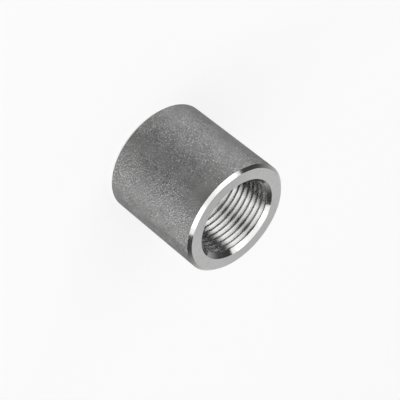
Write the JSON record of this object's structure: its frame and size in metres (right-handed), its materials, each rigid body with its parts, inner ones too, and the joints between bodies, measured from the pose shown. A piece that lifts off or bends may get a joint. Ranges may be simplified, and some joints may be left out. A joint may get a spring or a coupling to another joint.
{
  "type": "threaded coupling",
  "caption": "Short heavy-walled steel pipe coupling, threaded right through, with chamfered outer edges and countersunk mouths.",
  "frame": {"origin": "centre of the lower end face, on the bore's axis", "axes": "+Z along the bore's axis, out of the upper end; X and Y across the bore, alike apart from the helix of the thread"},
  "size_m": [0.045, 0.045, 0.0438],
  "materials": {
    "stainless_steel": "dull blasted outside, turned bright on the ends, chamfers and countersinks, cut thread inside"
  },
  "bodies": {
    "root": {"coupling_body": "stainless_steel"}
  },
  "joints": []
}
